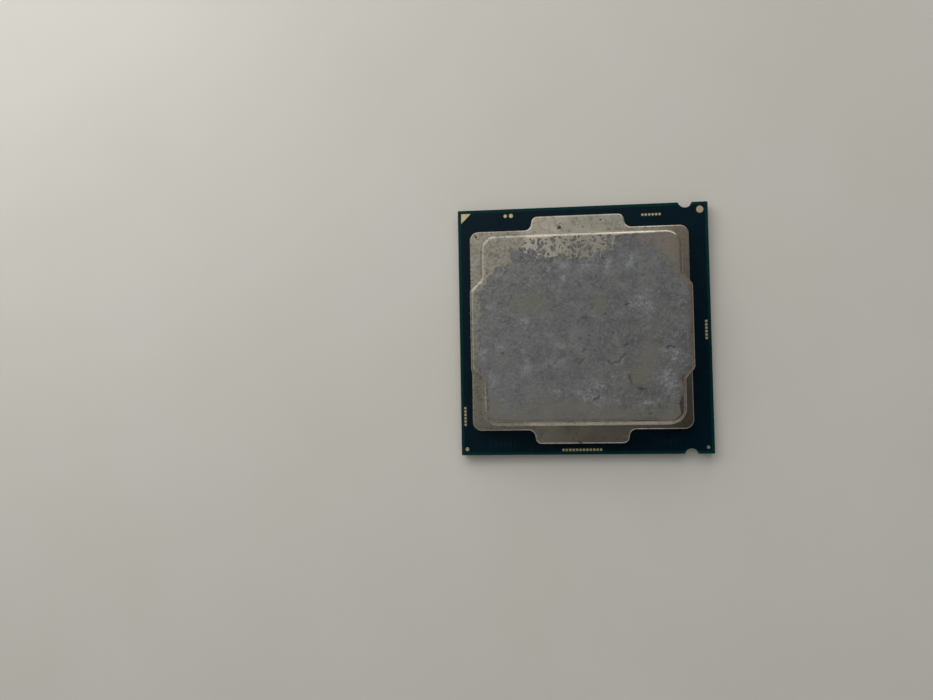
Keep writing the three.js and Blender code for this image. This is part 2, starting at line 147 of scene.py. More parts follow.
def substrate_outline(inset=0.0):
    """Square with a half-round notch on the +Y and -Y sides."""
    half = HALF_SIDE - inset
    radius = NOTCH_RADIUS + inset
    centre_y = HALF_SIDE + NOTCH_RADIUS - NOTCH_DEPTH
    reach = math.asin((centre_y - half) / radius)
    steps = 2 * ARC_STEPS
    angles = [-reach - (math.pi - 2 * reach) * k / steps for k in range(steps + 1)]
    north = [Vector((radius * math.cos(a) + NOTCH_X, radius * math.sin(a) + centre_y)) for a in angles]
    south = [Vector((point.x, -point.y)) for point in reversed(north)]
    corners = rectangle(half, half, SUBSTRATE_CORNER)
    per_corner = ARC_STEPS + 1
    first, others = corners[:per_corner], corners[per_corner:]
    return others[:per_corner] + north + others[per_corner:] + south + first


def flange_outline(inset=0.0):
    half_x, half_y, tab_y = LID_HALF_X - inset, LID_HALF_Y - inset, TAB_REACH_Y - inset
    root, top = TAB_HALF_ROOT - inset, TAB_HALF_TOP - inset
    convex, concave = TAB_FILLET - inset, TAB_FILLET + inset
    north = [
        (half_x, half_y, LID_CORNER - inset),
        (root, half_y, concave),
        (top, tab_y, convex),
        (-top, tab_y, convex),
        (-root, half_y, concave),
        (-half_x, half_y, LID_CORNER - inset),
    ]
    south = [(-x, -y, radius) for x, y, radius in north]
    return moved(rounded(north + south), LID_X, LID_Y)


def plateau_outline(inset=0.0, bulge_inset=0.0):
    """The plateau drawn in by inset, and by bulge_inset where its bulges meet the lid's sides."""
    half_x, half_y = PLATEAU_HALF_X - inset, PLATEAU_HALF_Y - inset
    bulge_x = LID_HALF_X - bulge_inset
    inner, outer = SHOULDER_INNER_Y - inset / 2, SHOULDER_OUTER_Y - inset / 2
    shift_x, shift_y = PLATEAU_SHIFT
    quarter = [
        (bulge_x, outer, BULGE_CORNER, 0),
        (half_x, inner, SHOULDER_FILLET, 1),
        (half_x, half_y, PLATEAU_CORNER - inset, 1),
    ]
    corners = []
    for side_x, side_y in ((1, 1), (-1, 1), (-1, -1), (1, -1)):
        turned = quarter if side_x * side_y > 0 else reversed(quarter)
        corners += [(side_x * x + shift_x * follows, side_y * y + shift_y, radius)
                    for x, y, radius, follows in turned]
    return moved(rounded(corners), LID_X, LID_Y)


# ---------- meshes ----------

def fill(loops):
    """Triangles over the area inside the first loop and outside the others, which are convex."""
    points, edges, owner = [], [], []
    for number, loop in enumerate(loops):
        start = len(points)
        points += loop
        owner += [number] * len(loop)
        edges += [(start + k, start + (k + 1) % len(loop)) for k in range(len(loop))]
    _, _, faces, origin, _, _ = delaunay_2d_cdt(points, edges, [], 1, 1e-7)
    faces = [[origin[corner][0] for corner in face] for face in faces]
    return [face for face in faces if owner[face[0]] == 0 or len({owner[k] for k in face}) > 1]


def skin(levels):
    """Closed skin through levels, each (z, loops), from the lowest up: (vertices, faces).
    A level's first loop runs anticlockwise round the outside, and its other loops are clockwise holes."""
    vertices, faces = [], []
    count = sum(len(loop) for loop in levels[0][1])
    for z, loops in levels:
        vertices += [(point.x, point.y, z) for loop in loops for point in loop]
    for low in range(0, count * (len(levels) - 1), count):
        start = low
        for loop in levels[0][1]:
            for k in range(len(loop)):
                a, b = start + k, start + (k + 1) % len(loop)
                faces.append((a, b, b + count, a + count))
            start += len(loop)
    last = count * (len(levels) - 1)
    faces += [tuple(reversed(face)) for face in fill(levels[0][1])]
    faces += [tuple(corner + last for corner in face) for face in fill(levels[-1][1])]
    return vertices, faces


def edge_levels(loops_at, low, high, radius, steps=3):
    """Levels of a plate whose lower and upper edges are rounded. loops_at(inset) gives its loops."""
    angles = [math.pi / 2 * k / steps for k in range(steps + 1)]
    quarter = [(radius * (1 - math.sin(a)), loops_at(radius * (1 - math.cos(a)))) for a in angles]
    lower = [(low + down, loops) for down, loops in reversed(quarter)]
    return lower + [(high - down, loops) for down, loops in quarter]


def joined(parts):
    vertices, faces = [], []
    for part_vertices, part_faces in parts:
        start = len(vertices)
        vertices += part_vertices
        faces += [tuple(corner + start for corner in face) for face in part_faces]
    return vertices, faces


def new_object(name, shape):
    mesh = bpy.data.meshes.new(name)
    mesh.from_pydata(shape[0], [], shape[1])
    thing = bpy.data.objects.new(name, mesh)
    bpy.context.scene.collection.objects.link(thing)
    return thing


def combine(first, second, operation):
    """Joins second to first or cuts it out of first, and uses second up."""
    modifier = first.modifiers.new("combine", "BOOLEAN")
    modifier.operation = operation
    modifier.solver = "EXACT"
    modifier.object = second
    depsgraph = bpy.context.evaluated_depsgraph_get()
    mesh = bpy.data.meshes.new_from_object(first.evaluated_get(depsgraph))
    first.modifiers.clear()
    first.data = mesh
    bpy.data.objects.remove(second)
    return first


def shade(mesh):
    """Smooth shading, with level faces shaded level right up to their softened edges."""
    mesh.shade_smooth()
    mesh.set_sharp_from_angle(angle=SHARP_ANGLE)
    facing = {}
    for face in mesh.polygons:
        if abs(face.normal.z) > 0.9999:
            facing.update(dict.fromkeys(face.vertices, math.copysign(1, face.normal.z)))
    normals = [tuple(corner.vector) for corner in mesh.corner_normals]
    for face in mesh.polygons:
        for corner in face.loop_indices:
            up = facing.get(mesh.loops[corner].vertex_index, 0)
            if face.normal.z * up > math.cos(SHARP_ANGLE):
                normals[corner] = (0, 0, up)
    mesh.normals_split_custom_set(normals)


def finish_piece(thing, nodes, materials, face_materials=None):
    """Scales a piece to metres and hands it to the frame in place of its CAD nodes."""
    mesh = thing.data
    mesh.transform(Matrix.Scale(MM, 4))
    mesh.materials.clear()
    for material in materials:
        mesh.materials.append(material)
    if face_materials is not None:
        mesh.polygons.foreach_set("material_index", face_materials)
    shade(mesh)
    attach(thing, "root")
    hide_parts(*nodes)
    return thing


# ---------- materials ----------

def srgb(red, green, blue):
    """Linear colour of an 8-bit display colour."""
    return tuple((channel / 255) ** 2.2 for channel in (red, green, blue)) + (1.0,)


class Nodes:
    """Makes the nodes of one shader tree."""

    def __init__(self, tree):
        self.tree = tree

    def add(self, kind, inputs=None, **settings):
        node = self.tree.nodes.new("ShaderNode" + kind)
        for name, value in settings.items():
            setattr(node, name, value)
        for socket, value in (inputs or {}).items():
            if isinstance(value, bpy.types.NodeSocket):
                self.tree.links.new(value, node.inputs[socket])
            else:
                node.inputs[socket].default_value = value
        return node

    def calc(self, operation, first, second=0.0):
        return self.add("Math", {0: first, 1: second}, operation=operation).outputs[0]

    def times(self, first, second):
        return self.calc("MULTIPLY", first, second)

    def rescale(self, value, low, high, to_low=0.0, to_high=1.0, smooth=False):
        inputs = {"Value": value, "From Min": low, "From Max": high, "To Min": to_low, "To Max": to_high}
        kind = "SMOOTHSTEP" if smooth else "LINEAR"
        return self.add("MapRange", inputs, interpolation_type=kind).outputs["Result"]

    def mix(self, factor, first, second):
        return self.add("Mix", {0: factor, 6: first, 7: second}, data_type="RGBA").outputs[2]

    def tint(self, base, value, low, high, weight, colour):
        """Lays the colour over the base, from none where value is low to the weight where it is high."""
        return self.mix(self.rescale(value, low, high, 0.0, weight), base, colour)


class Finish(Nodes):
    """A material and the nodes that drive it. place is the object's own space, in millimetres."""

    def __init__(self, name, **sockets):
        self.material = bpy.data.materials.new(name)
        self.material.use_nodes = True
        super().__init__(self.material.node_tree)
        self.shader = self.tree.nodes["Principled BSDF"]
        for socket, value in sockets.items():
            self.shader.inputs[socket.replace("_", " ").title().replace("Ior", "IOR")].default_value = value
        space = self.add("TexCoord").outputs["Object"]
        self.place = self.add("VectorMath", {0: space, "Scale": 1 / MM}, operation="SCALE").outputs[0]

    def stretched(self, x, y, z, turn=0.0):
        """The place, turned and then scaled up by x, y and z, for streaks at an angle."""
        inputs = {"Vector": self.place, "Scale": (1 / x, 1 / y, 1 / z), "Rotation": (0, 0, turn)}
        return self.add("Mapping", inputs, vector_type="TEXTURE").outputs[0]

    def noise(self, size, detail=3.0, roughness=0.55, place=None, distortion=0.0):
        """Noise from 0 to 1 with lumps of about the given size."""
        inputs = {"Vector": place or self.place, "Scale": 1 / size, "Detail": detail,
                  "Roughness": roughness, "Distortion": distortion}
        return self.add("TexNoise", inputs).outputs["Fac"]

    def cells(self, size):
        """Distance to the nearest of some scattered points, in cell sizes."""
        return self.add("TexVoronoi", {"Vector": self.place, "Scale": 1 / size}).outputs["Distance"]

    def axes(self):
        node = self.add("SeparateXYZ", {0: self.place})
        return node.outputs[0], node.outputs[1], node.outputs[2]

    def bump(self, height, depth, normal=None):
        """Bump whose full height range is depth millimetres."""
        inputs = {"Height": height, "Distance": depth * MM, "Strength": 1.0}
        if normal:
            inputs["Normal"] = normal
        return self.add("Bump", inputs).outputs[0]

    def drive(self, **links):
        """Links sockets of the shader, such as Base_Color, to values that vary over the surface."""
        for socket, value in links.items():
            self.tree.links.new(value, self.shader.inputs[socket.replace("_", " ")])
        return self.material


def nickel_finish():
    """Satin nickel plating, scuffed, and stained by old paste and fingers, with painted shade darkening it
    towards the west.
    """
    finish = Finish("nickel_plating", metallic=1.0)
    x, _, _ = finish.axes()
    cloud = finish.noise(3.5, 4)
    mottle = finish.noise(0.9, 5, 0.65, distortion=1.2)
    grain = finish.noise(0.12, 2)
    scuffs = finish.rescale(finish.noise(1.0, 5, 0.7, finish.stretched(0.25, 5, 1, 0.5)), 0.58, 0.75)
    cross = finish.rescale(finish.noise(1.0, 5, 0.7, finish.stretched(6, 0.3, 1, 0.2)), 0.6, 0.78)
    east = finish.calc("ADD", x, finish.times(cloud, 8.0))
    film = finish.rescale(east, 12.0, 19.0, smooth=True)
    clean = finish.mix(finish.rescale(cloud, 0.35, 0.7), srgb(224, 217, 202), srgb(200, 194, 177))
    # painted shade: darker, greyer metal towards the west dims the bright reflection of its smooth rim; the
    # smears laid there next are stains
    west = finish.calc("SUBTRACT", finish.times(cloud, 6.0), x)
    west = finish.rescale(west, 9.0, 14.0, smooth=True)
    clean = finish.mix(finish.times(west, 0.6), clean, srgb(162, 159, 147))
    stained = finish.mix(film, clean, srgb(178, 167, 153))
    smears = finish.rescale(finish.noise(0.8, 6, 0.68, distortion=1.8), 0.52, 0.62, 0.0, 0.75)
    stained = finish.mix(finish.times(smears, west), stained, srgb(122, 118, 106))
    stained = finish.tint(stained, mottle, 0.5, 0.7, 0.75, srgb(148, 140, 122))
    stained = finish.tint(stained, mottle, 0.42, 0.28, 0.5, srgb(214, 206, 188))
    spots = finish.rescale(finish.noise(0.6, 5, 0.65), 0.64, 0.72, 0.0, 0.75)
    colour = finish.mix(spots, stained, srgb(98, 90, 76))
    scratch = finish.calc("ADD", scuffs, cross)
    satin = finish.rescale(mottle, 0.3, 0.7, 0.16, 0.24)
    shine = finish.calc("ADD", satin, finish.times(scratch, 0.05))
    relief = finish.bump(mottle, 0.005)
    relief = finish.bump(grain, 0.0006, relief)
    relief = finish.bump(scratch, -0.002, relief)
    return finish.drive(Base_Color=colour, Roughness=shine, Normal=relief)


def paste_finish():
    """Dried thermal paste: chalky grey with pale crumbs and olive smears, browner where metal shows, with a
    painted sheen lighter to the west and painted shade darker to the south-east.
    """
    finish = Finish("dried_thermal_paste", specular_ior_level=0.5)
    wear = finish.add("SeparateColor", {0: finish.add("Attribute", attribute_name="wear").outputs["Color"]})
    thin, pale, olive = wear.outputs
    mottle = finish.noise(2.6, 5, 0.6)
    flow = finish.noise(0.8, 5, 0.62, distortion=2.0)
    crumbs = finish.noise(0.3, 4, 0.7)
    grain = finish.noise(0.12, 2)
    x, y, _ = finish.axes()
    body = finish.mix(finish.rescale(mottle, 0.35, 0.65), srgb(94, 96, 96), srgb(118, 119, 118))
    # painted sheen and shade: the paste is lighter towards the west and darker towards the south-east,
    # following the room's reflection
    body = finish.tint(body, x, 2, -14, 0.4, srgb(120, 122, 121))
    south_east = finish.rescale(finish.calc("SUBTRACT", x, y), 2, 24, 0.0, 0.5)
    body = finish.mix(south_east, body, srgb(82, 82, 81))
    body = finish.tint(body, flow, 0.5, 0.66, 0.8, srgb(126, 129, 131))
    body = finish.tint(body, flow, 0.46, 0.32, 0.8, srgb(80, 81, 81))
    north_west = finish.rescale(finish.calc("SUBTRACT", y, x), -4, 20)
    strokes = finish.noise(1.0, 4, 0.7, finish.stretched(0.6, 2.6, 1, 0.8), 0.6)
    streaks = finish.times(finish.rescale(strokes, 0.52, 0.66), north_west)
    body = finish.mix(finish.times(streaks, 0.7), body, srgb(138, 141, 142))
    folds = finish.noise(1.5, 3, 0.5, distortion=1.5)
    folds = finish.calc("ABSOLUTE", finish.calc("SUBTRACT", folds, 0.5))
    swirls = finish.times(finish.rescale(folds, 0.025, 0.0), north_west)
    body = finish.mix(finish.times(swirls, 0.7), body, srgb(62, 64, 64))
    body = finish.tint(body, crumbs, 0.55, 0.7, 0.4, srgb(130, 133, 135))
    chalky = finish.times(pale, finish.rescale(crumbs, 0.4, 0.62, 0.1, 1.0))
    body = finish.mix(chalky, body, srgb(151, 154, 156))
    body = finish.mix(olive, body, srgb(116, 114, 102))
    body = finish.tint(body, grain, 0.5, 0.8, 0.3, srgb(92, 93, 92))
    specks = finish.rescale(finish.cells(1.3), 0.08, 0.04)
    chosen = finish.rescale(finish.noise(3.1, 2), 0.55, 0.6)
    body = finish.mix(finish.times(specks, chosen), body, srgb(70, 70, 68))
    dark = finish.add("Attribute", attribute_name="dark").outputs["Fac"]
    body = finish.mix(dark, body, srgb(58, 58, 56))
    bare = finish.mix(finish.rescale(x, 2, 10), srgb(162, 158, 149), srgb(152, 139, 124))
    colour = finish.mix(thin, body, bare)
    relief = finish.bump(flow, 0.02)
    relief = finish.bump(crumbs, 0.008, relief)
    return finish.drive(
        Base_Color=colour,
        Roughness=finish.rescale(flow, 0.3, 0.7, 0.38, 0.56),
        Metallic=finish.times(thin, 0.75),
        Normal=relief,
    )


def mask_finish():
    """Dark blue-green solder mask, greener at the border, where no copper lies under it."""
    finish = Finish("solder_mask", specular_ior_level=0.14)
    x, y, _ = finish.axes()
    edge = finish.calc("MAXIMUM", finish.calc("ABSOLUTE", x), finish.calc("ABSOLUTE", y))
    border = finish.rescale(edge, HALF_SIDE - 0.55, HALF_SIDE - 0.3, smooth=True)
    weave = finish.noise(0.35, 2)
    copper = finish.mix(finish.rescale(finish.noise(5.0, 3), 0.3, 0.7), srgb(0, 31, 41), srgb(1, 35, 45))
    copper = finish.tint(copper, weave, 0.3, 0.7, 0.3, srgb(0, 23, 32))
    colour = finish.mix(border, copper, srgb(3, 52, 50))
    for west, south, east, north in LASER_MARKS:
        bars = finish.calc("GREATER_THAN", finish.calc("FRACT", finish.times(x, 1.35)), 0.4)
        inside = finish.calc("COMPARE", x, (west + east) / 2)
        inside.node.inputs[2].default_value = (east - west) / 2
        level = finish.calc("COMPARE", y, (south + north) / 2)
        level.node.inputs[2].default_value = (north - south) / 2
        mark = finish.times(finish.times(inside, level), bars)
        colour = finish.mix(finish.times(mark, 0.5), colour, srgb(18, 42, 48))
    relief = finish.bump(finish.noise(1.2, 3), 0.003)
    relief = finish.bump(weave, 0.0006, relief)
    rough = finish.rescale(finish.noise(1.5, 3), 0.3, 0.7, 0.2, 0.3)
    return finish.drive(Base_Color=colour, Roughness=rough, Normal=relief)


def gold_finish():
    finish = Finish("gold_plating", metallic=1.0)
    wear = finish.noise(0.25, 4)
    colour = finish.mix(finish.rescale(wear, 0.35, 0.7), srgb(242, 224, 184), srgb(224, 200, 150))
    relief = finish.bump(finish.noise(0.12, 3), 0.002)
    rough = finish.rescale(wear, 0.3, 0.7, 0.25, 0.42)
    return finish.drive(Base_Color=colour, Roughness=rough, Normal=relief)


def layered_finish(name, dark, light, roughness):
    """Cut edge of a laminate: fibre bundles and resin in thin horizontal streaks."""
    finish = Finish(name)
    streaks = finish.noise(1.0, 4, 0.6, finish.stretched(2.2, 2.2, 22))
    pores = finish.noise(0.06, 3)
    colour = finish.mix(finish.rescale(streaks, 0.35, 0.65), dark, light)
    colour = finish.tint(colour, pores, 0.55, 0.75, 0.4, dark)
    relief = finish.bump(streaks, 0.006)
    relief = finish.bump(pores, 0.004, relief)
    rough = finish.rescale(pores, 0.3, 0.7, roughness - 0.1, roughness + 0.1)
    return finish.drive(Base_Color=colour, Roughness=rough, Normal=relief)


def speckled_finish(name, dark, light, size, roughness, depth, **sockets):
    """Even material with fine cloudy variation and a matching relief."""
    finish = Finish(name, **sockets)
    cloud = finish.noise(size * 6, 4)
    grain = finish.noise(size, 3)
    colour = finish.mix(finish.rescale(cloud, 0.3, 0.7), dark, light)
    colour = finish.tint(colour, grain, 0.5, 0.75, 0.35, dark)
    relief = finish.bump(grain, depth)
    rough = finish.rescale(cloud, 0.3, 0.7, roughness - 0.06, roughness + 0.06)
    return finish.drive(Base_Color=colour, Roughness=rough, Normal=relief)


# plain bars where a package carries its lot code: west, south, east, north
LASER_MARKS = [(-14.5, -17.7, -10.0, -16.6), (9.5, -17.6, 13.8, -16.5)]

NICKEL = nickel_finish()
PASTE = paste_finish()
MASK = mask_finish()
GOLD = gold_finish()
LAMINATE = layered_finish("laminate_edge", srgb(70, 66, 44), srgb(132, 120, 82), 0.7)
BUILDUP = layered_finish("buildup_edge", srgb(22, 44, 40), srgb(38, 66, 58), 0.6)
SEALANT = speckled_finish("black_sealant", srgb(14, 14, 15), srgb(26, 26, 27), 0.15, 0.5, 0.01)
CERAMIC = speckled_finish("capacitor_ceramic", srgb(110, 84, 62), srgb(138, 108, 82), 0.05, 0.55, 0.004)
TIN = speckled_finish("tinned_terminal", srgb(165, 165, 162), srgb(196, 196, 194), 0.06, 0.38, 0.004,
                      metallic=1.0)
SOLDER = speckled_finish("solder", srgb(175, 177, 180), srgb(205, 207, 210), 0.08, 0.25, 0.003,
                         metallic=1.0)
SILICON = speckled_finish("silicon", srgb(64, 66, 74), srgb(78, 80, 88), 0.3, 0.12, 0.0005,
                          metallic=0.6)
UNDERFILL = speckled_finish("underfill_resin", srgb(26, 23, 20), srgb(44, 38, 32), 0.1, 0.35, 0.004)
RESIDUE = speckled_finish("dark_residue", srgb(44, 42, 36), srgb(86, 82, 72), 0.1, 0.6, 0.006)
DIE_PASTE = speckled_finish("die_thermal_compound", srgb(140, 146, 150), srgb(168, 173, 177), 0.1, 0.6,
                            0.006)


# ---------- substrate ----------

def add_plate(name, node, material, radius):
    low, high = node_box(node)
    levels = edge_levels(lambda inset: [substrate_outline(inset)], low.z, high.z, radius, 2)
    finish_piece(new_object(name, skin(levels)), [node], [material])


ROUND_PADS = ("corner_fiducial", "corner_pad_southwest", "corner_pad_southeast",
              "probe_pad_west", "probe_pad_east")
PAD_ROWS = {"test_pad_row_north": 6, "test_pad_row_east": 6, "test_pad_row_west": 6,
            "test_pad_row_south": 12}
MASK_CLEARANCE = 0.08


def round_pad(node):
    """Centre and radius of a round pad."""
    low, high = node_box(node)
    return (low + high) / 2, (high.x - low.x) / 2


def row_pads(node):
    """Centres and radius of the pads in a row."""
    low, high = node_box(node)
    radius = min(high.x - low.x, high.y - low.y) / 2
    first = Vector((low.x + radius, low.y + radius))
    last = Vector((high.x - radius, high.y - radius))
    steps = PAD_ROWS[node] - 1
    return [first.lerp(last, k / steps) for k in range(steps + 1)], radius


def triangle_outline(grow, radius):
    """The pin-one mark: a right-angled triangle with a slightly rounded outline."""
    low, high = node_box("pin_one_triangle")
    far = grow * math.sqrt(2)
    corners = [
        (low.x - grow, high.y + grow, radius),
        (low.x - grow, low.y - grow - far, radius),
        (high.x + grow + far, high.y + grow, radius),
    ]
    return rounded(corners, 4)


def mask_windows(inset):
    """Outlines of the upper mask's openings, smaller by inset."""
    grow = MASK_CLEARANCE - inset
    windows = [triangle_outline(grow, 0.06)]
    for node in ROUND_PADS:
        centre, radius = round_pad(node)
        windows.append(disc(centre.x, centre.y, radius + grow))
    for node in PAD_ROWS:
        low, high = node_box(node)
        half_x, half_y = (high.x - low.x) / 2 + grow, (high.y - low.y) / 2 + grow
        window = rectangle(half_x, half_y, min(half_x, half_y) * 0.98)
        windows.append(moved(window, (low.x + high.x) / 2, (low.y + high.y) / 2))
    return [list(reversed(window)) for window in windows]


def add_upper_mask():
    def loops_at(inset):
        return [substrate_outline(inset)] + mask_windows(-inset)
    levels = edge_levels(loops_at, MASK_LOW.z, MASK_HIGH.z, 0.01, 2)
    finish_piece(new_object("upper_mask_film", skin(levels)), ["upper_solder_mask"], [MASK])


def pad(outline_at, low, high):
    """A pad with a softened upper edge."""
    edge = 0.012
    levels = [(low, [outline_at(0)]), (high - edge, [outline_at(0)]),
              (high - edge * 0.3, [outline_at(edge * 0.7)]), (high, [outline_at(edge * 2)])]
    return skin(levels)


def add_upper_pads():
    low, high = (corner.z for corner in node_box("corner_fiducial"))
    mark = pad(lambda inset: triangle_outline(-inset, 0.05), low, high)
    finish_piece(new_object("pin_one_mark", mark), ["pin_one_triangle"], [GOLD])
    for node in ROUND_PADS:
        centre, radius = round_pad(node)
        shape = pad(lambda inset: disc(centre.x, centre.y, radius - inset), low, high)
        finish_piece(new_object(node + "_plating", shape), [node], [GOLD])
    for node in PAD_ROWS:
        centres, radius = row_pads(node)
        shapes = [pad(lambda inset: disc(c.x, c.y, radius - inset, 24), low, high) for c in centres]
        finish_piece(new_object(node + "_plating", joined(shapes)), [node], [GOLD])


# ---------- lands ----------

def land_sites():
    """Grid columns and rows that hold a land: 1151 of them."""
    last = LAND_GRID - 1
    for column in range(LAND_GRID):
        for row in range(LAND_GRID):
            from_corner = min(column, last - column) + min(row, last - row)
            in_window = column in WINDOW_COLUMNS and row in WINDOW_ROWS
            in_recess = column in RECESS_COLUMNS and row == WINDOW_ROWS.stop
            from_edge = min(row, last - row)
            at_notch = from_edge < 2 and column in range(35 + from_edge, 37 + from_edge)
            if from_corner > 2 and not (in_window or in_recess or at_notch):
                yield column, row


def land_field(column, row):
    if column < WINDOW_COLUMNS.start:
        return "west"
    if column >= WINDOW_COLUMNS.stop:
        return "east"
    return "south" if row < WINDOW_ROWS.start else "north"


def land_outline(column, row, grow):
    """Long octagon round a grid site."""
    x = (column - (LAND_GRID - 1) / 2) * LAND_PITCH
    y = (row - (LAND_GRID - 1) / 2) * LAND_PITCH
    half_x, half_y = LAND_WIDTH / 2 + grow, LAND_LENGTH / 2 + grow
    chamfer = LAND_CHAMFER + grow * (2 - math.sqrt(2))
    corners = []
    for sx, sy in ((1, -1), (1, 1), (-1, 1), (-1, -1)):
        flat = Vector((x + sx * half_x, y + sy * (half_y - chamfer)))
        side = Vector((x + sx * (half_x - chamfer), y + sy * half_y))
        corners += [side, flat] if sx * sy < 0 else [flat, side]
    return corners


def add_lands():
    fields = {"west": [], "east": [], "north": [], "south": []}
    low, high = (corner.z for corner in node_box("land_field_west"))
    edge = 0.006
    for site in land_sites():
        levels = [(low, [land_outline(*site, -edge)]), (low + edge, [land_outline(*site, 0)]),
                  (high, [land_outline(*site, 0)])]
        fields[land_field(*site)].append(skin(levels))
    assert sum(len(lands) for lands in fields.values()) == 1151
    for side, lands in fields.items():
        piece = new_object(f"lands_{side}", joined(lands))
        finish_piece(piece, [f"land_field_{side}"], [GOLD])


def add_lower_mask():
    def loops_at(inset):
        windows = [land_outline(*site, LAND_GAP + inset) for site in land_sites()]
        return [substrate_outline(inset)] + [list(reversed(window)) for window in windows]
    levels = [(LOWER_MASK_LOW.z, loops_at(0.006)), (LOWER_MASK_LOW.z + 0.006, loops_at(0)),
              (LOWER_MASK_HIGH.z, loops_at(0))]
    finish_piece(new_object("lower_mask_film", skin(levels)), ["lower_solder_mask"], [MASK])


# ---------- capacitors ----------

def rounded_box(low, high, radius):
    """A box with softened edges, from its lowest and highest corners."""
    mesh = bmesh.new()
    bmesh.ops.create_cube(mesh, size=1.0)
    size, centre = high - low, (low + high) / 2
    for vertex in mesh.verts:
        vertex.co = Vector(a * b for a, b in zip(vertex.co, size)) + centre
    bmesh.ops.bevel(mesh, geom=mesh.edges[:], offset=radius, segments=3, profile=0.5, affect="EDGES")
    mesh.verts.index_update()
    shape = [tuple(v.co) for v in mesh.verts], [tuple(v.index for v in f.verts) for f in mesh.faces]
    mesh.free()
    return shape


def solder_fillet(side, inner_x, toe_x, centre_y, half_y, foot, climb):
    """Concave wedge of solder from the terminal's end down to the pad."""
    steps = 6
    profile = [(inner_x, foot), (toe_x, foot)]
    for k in range(1, steps + 1):
        t = k / steps
        x = toe_x + (inner_x + side * 0.02 - toe_x) * (1 - (1 - t) ** 2)
        profile.append((x, foot - climb * t ** 2))
    profile.append((inner_x, foot - climb))
    count = len(profile)
    vertices = [(x, centre_y + y, z) for y in (-half_y, half_y) for x, z in profile]
    faces = [(k, k + count, (k + 1) % count + count, (k + 1) % count) for k in range(count)]
    faces += [tuple(range(count)), tuple(range(2 * count - 1, count - 1, -1))]
    if side < 0:
        faces = [tuple(reversed(face)) for face in faces]
    return vertices, faces


TERMINAL_SHARE = 0.22
SOLDER_TOE = 0.16
SOLDER_JOINT = 0.05
TERMINAL_PROUD = 0.015
BODY_SETBACK = 0.03


def add_capacitor(node):
    """Ceramic body, two wrapped terminals and their solder, hanging under the substrate."""
    low, high = node_box(node)
    centre_x, centre_y = (low.x + high.x) / 2, (low.y + high.y) / 2
    half_x, half_y = (high.x - low.x) / 2 - SOLDER_TOE, (high.y - low.y) / 2
    terminal = 2 * half_x * TERMINAL_SHARE
    body_x, body_y = half_x - BODY_SETBACK, half_y - TERMINAL_PROUD
    body_low = Vector((centre_x - body_x, centre_y - body_y, low.z + TERMINAL_PROUD))
    body_high = Vector((centre_x + body_x, centre_y + body_y, high.z - SOLDER_JOINT))
    parts = [rounded_box(body_low, body_high, 0.035)]
    body_faces = len(parts[0][1])
    for side in (-1, 1):
        end = centre_x + side * half_x
        start = end - side * terminal
        cap_low = Vector((min(start, end), centre_y - half_y, low.z))
        cap_high = Vector((max(start, end), centre_y + half_y, high.z - 0.02))
        parts.append(rounded_box(cap_low, cap_high, 0.04))
        climb = (high.z - low.z) * 0.6
        inner, outer = end - side * SOLDER_JOINT, end + side * SOLDER_TOE
        parts.append(solder_fillet(side, inner, outer, centre_y, half_y * 0.9, high.z, climb))
    shape = joined(parts)
    face_materials = [0] * body_faces + [1] * (len(shape[1]) - body_faces)
    piece = new_object(node + "_detail", shape)
    finish_piece(piece, [node], [CERAMIC, TIN], face_materials)


# ---------- die ----------

def add_bumps():
    """The die's solder bumps, flattened against the die and the substrate."""
    low, high = node_box("solder_bump_layer")
    pitch, radius = 0.5, 0.13
    columns = int((high.x - low.x) / pitch)
    rows = int((high.y - low.y) / pitch)
    middle = (low + high) / 2
    height = high.z - low.z
    profile = [(0.0, 0.75), (0.25, 0.95), (0.5, 1.0), (0.75, 0.95), (1.0, 0.75)]
    bumps = []
    for column in range(columns):
        for row in range(rows):
            x = middle.x + (column - (columns - 1) / 2) * pitch
            y = middle.y + (row - (rows - 1) / 2) * pitch
            levels = [(low.z + height * up, [disc(x, y, radius * wide, 10)]) for up, wide in profile]
            bumps.append(skin(levels))
    finish_piece(new_object("solder_bumps", joined(bumps)), ["solder_bump_layer"], [SOLDER])


# ---------- heat spreader ----------

def add_lid():
    flange = edge_levels(lambda inset: [flange_outline(inset)], LID_BOTTOM, FLANGE_TOP, FLANGE_EDGE, 4)
    lid = new_object("nickel_plated_lid", skin(flange))
    plateau = [(FLANGE_TOP - 0.6, [plateau_outline(-FOOT_FILLET, BULGE_STEP)]),
               (FLANGE_TOP - 0.01, [plateau_outline(-FOOT_FILLET, BULGE_STEP)])]
    for step in range(1, 6):
        angle = math.pi / 2 * step / 5 * 0.85
        out = FOOT_FILLET * (1 - math.sin(angle))
        climb = FOOT_FILLET * (1 - math.cos(angle))
        plateau.append((FLANGE_TOP + climb, [plateau_outline(-out, BULGE_STEP)]))
    for step in range(9):
        angle = math.pi / 2 * step / 8
        across, down = 1 - math.cos(angle), 1 - math.sin(angle)
        outline = plateau_outline(PLATEAU_DRAFT + PLATEAU_RIM * across, BULGE_DRAFT + BULGE_RIM * across)
        plateau.append((LID_TOP - RIM_DROP * down, [outline]))
    combine(lid, new_object("plateau", skin(plateau)), "UNION")
    insets = [(LID_BOTTOM - 1, -0.1), (LID_BOTTOM + 0.02, -0.1), (LID_BOTTOM + 0.12, 0),
              (CAVITY_TOP - 0.15, 0), (CAVITY_TOP - 0.05, 0.05), (CAVITY_TOP, 0.15)]
    cavity = []
    for z, inset in insets:
        outline = rectangle(CAVITY_HALF_X - inset, CAVITY_HALF_Y - inset, CAVITY_CORNER - inset)
        cavity.append((z, [moved(outline, LID_X, LID_Y)]))
    combine(lid, new_object("cavity", skin(cavity)), "DIFFERENCE")
    finish_piece(lid, ["heat_spreader"], [NICKEL])


